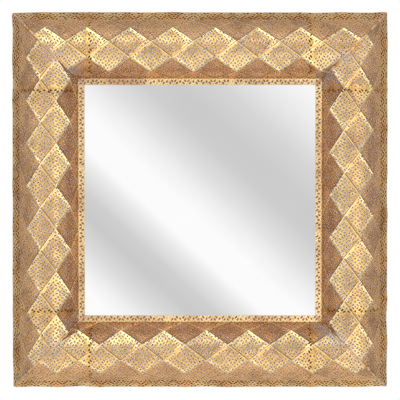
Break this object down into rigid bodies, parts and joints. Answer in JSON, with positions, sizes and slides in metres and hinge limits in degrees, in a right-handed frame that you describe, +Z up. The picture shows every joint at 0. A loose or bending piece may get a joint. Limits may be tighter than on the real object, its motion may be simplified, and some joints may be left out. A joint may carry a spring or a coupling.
{
  "type": "wall mirror",
  "caption": "Square wall mirror in a wide half-round frame of folded, perforated gilt tin, on a batten back with hanging rings.",
  "frame": {"origin": "centre of the wall plane, behind the middle of the glass", "axes": "+X to the right and +Z up for someone looking at the glass; -Y out of the wall, through the front; +Y into the wall"},
  "size_m": [0.65, 0.0596, 0.65],
  "materials": {
    "mirror_glass": "silvered, polished",
    "hardboard": "pale painted hardboard",
    "foam_tape": "white foam",
    "batten_wood": "sawn softwood",
    "gilt_tin": "aged gilt lacquer on perforated tin",
    "lip_tin": "pale gilt lacquer on perforated tin",
    "solder": "dull grey solder under gilt",
    "screw_steel": "zinc plated",
    "hanger_brass": "brass plated"
  },
  "bodies": {
    "frame": {"mirror_glass": "mirror_glass", "backing_board": "hardboard", "glass_tape": "foam_tape", "batten_top": "batten_wood", "batten_bottom": "batten_wood", "batten_left_upper": "batten_wood", "hanger_block_left": "batten_wood", "batten_left_lower": "batten_wood", "batten_right_upper": "batten_wood", "hanger_block_right": "batten_wood", "batten_right_lower": "batten_wood", "top_panel_left": "gilt_tin", "top_panel_middle": "gilt_tin", "top_panel_right": "gilt_tin", "right_panel_upper": "gilt_tin", "right_panel_middle": "gilt_tin", "right_panel_lower": "gilt_tin", "bottom_panel_right": "gilt_tin", "bottom_panel_middle": "gilt_tin", "bottom_panel_left": "gilt_tin", "left_panel_lower": "gilt_tin", "left_panel_middle": "gilt_tin", "left_panel_upper": "gilt_tin", "top_lip": "lip_tin", "right_lip": "lip_tin", "bottom_lip": "lip_tin", "left_lip": "lip_tin", "mitre_solder_top_right": "solder", "mitre_solder_bottom_right": "solder", "mitre_solder_bottom_left": "solder", "mitre_solder_top_left": "solder", "flange_screws": "screw_steel", "board_screws": "screw_steel", "hanger_screws": "screw_steel", "left_hanger_strap": "hanger_brass", "right_hanger_strap": "hanger_brass"},
    "left_ring_body": {"left_ring": "hanger_brass"},
    "right_ring_body": {"right_ring": "hanger_brass"}
  },
  "joints": [
    {"name": "left_ring_swing", "type": "hinge", "parent": "frame", "child": "left_ring_body", "pos_m": [-0.288, -0.00435, 0.15], "axis": [1, 0, 0], "range_deg": [0, 180]},
    {"name": "right_ring_swing", "type": "hinge", "parent": "frame", "child": "right_ring_body", "pos_m": [0.288, -0.00435, 0.15], "axis": [1, 0, 0], "range_deg": [0, 180]}
  ]
}
